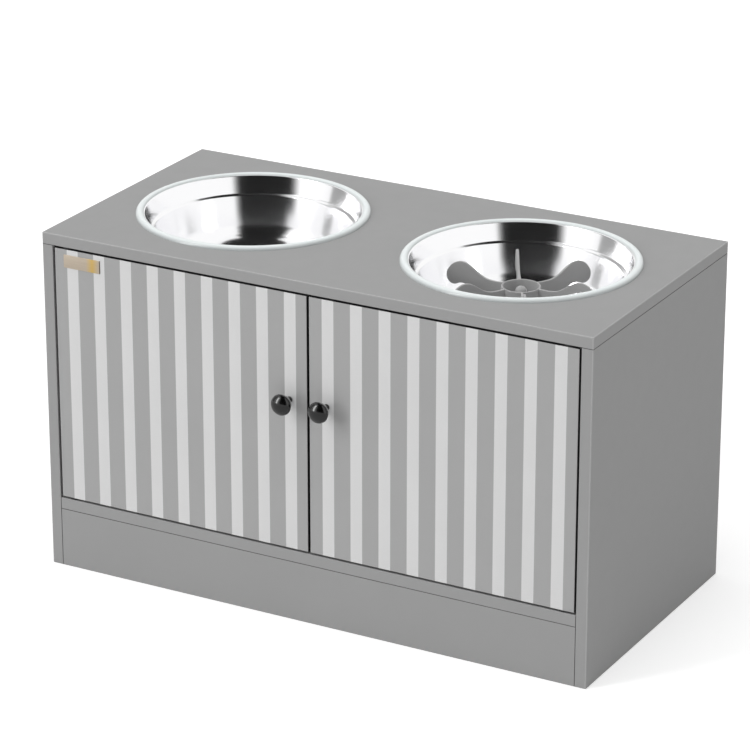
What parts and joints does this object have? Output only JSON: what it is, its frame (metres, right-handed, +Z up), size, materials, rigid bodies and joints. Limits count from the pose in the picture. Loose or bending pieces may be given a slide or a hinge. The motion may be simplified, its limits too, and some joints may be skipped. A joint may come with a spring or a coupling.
{
  "type": "elevated dog feeder with storage",
  "caption": "Low cabinet with hinged front doors and round steel dog bowls dropped into its top, each in a soft white rim ring, with a finned slow-feed insert in one bowl.",
  "frame": {"origin": "on the floor, at the middle of the outer size, knobs included", "axes": "+X to the right seen from the front, +Y to the back, +Z up"},
  "size_m": [0.6, 0.3228, 0.3589],
  "materials": {
    "board": "matt grey melamine film on board",
    "door_face": "matt grey film with lighter upright stripes",
    "back_sheet": "matt grey film on thin hardboard",
    "zinc": "bright zinc plate",
    "dowel_wood": "bare beech",
    "white_nylon": "moulded nylon",
    "black_nylon": "moulded black nylon",
    "magnet": "sintered ferrite",
    "knob_black": "gloss black",
    "bowl_steel": "mirror polished",
    "rim_ring": "soft gloss white",
    "insert_plastic": "satin grey",
    "suction_rubber": "soft grey rubber"
  },
  "bodies": {
    "cabinet": {"top_panel": "board", "left_side_panel": "board", "right_side_panel": "board", "bottom_panel": "board", "plinth_board": "board", "back_panel": "back_sheet", "cam_locks": "zinc", "cam_bolts": "zinc", "dowels": "dowel_wood", "pivot_bushes": "black_nylon", "catch_housing": "white_nylon", "catch_magnets": "magnet", "catch_pole_plates": "zinc", "catch_screws": "zinc"},
    "left_door": {"left_door_panel": "door_face", "left_knob": "knob_black", "left_knob_screw": "zinc", "left_pivot_pins": "zinc", "left_strike_plate": "zinc", "left_strike_screw": "zinc"},
    "right_door": {"right_door_panel": "door_face", "right_knob": "knob_black", "right_knob_screw": "zinc", "right_pivot_pins": "zinc", "right_strike_plate": "zinc", "right_strike_screw": "zinc"},
    "left_dish": {"left_bowl": "bowl_steel", "left_rim_ring": "rim_ring"},
    "right_dish": {"right_bowl": "bowl_steel", "right_rim_ring": "rim_ring"},
    "insert": {"slow_feed_insert": "insert_plastic", "suction_cup": "suction_rubber"}
  },
  "joints": [
    {"name": "left_door_hinge", "type": "hinge", "parent": "cabinet", "child": "left_door", "pos_m": [-0.27384, -0.13225, 0.2085], "axis": [0, 0, -1], "range_deg": [0, 110]},
    {"name": "right_door_hinge", "type": "hinge", "parent": "cabinet", "child": "right_door", "pos_m": [0.27384, -0.13225, 0.2085], "axis": [0, 0, 1], "range_deg": [0, 110]},
    {"name": "left_bowl_lift", "type": "slide", "parent": "cabinet", "child": "left_dish", "axis": [0, 0, 1], "range_m": [0, 0.12]},
    {"name": "right_bowl_lift", "type": "slide", "parent": "cabinet", "child": "right_dish", "axis": [0, 0, 1], "range_m": [0, 0.12]},
    {"name": "insert_lift", "type": "slide", "parent": "right_dish", "child": "insert", "axis": [0, 0, 1], "range_m": [0, 0.08]}
  ]
}
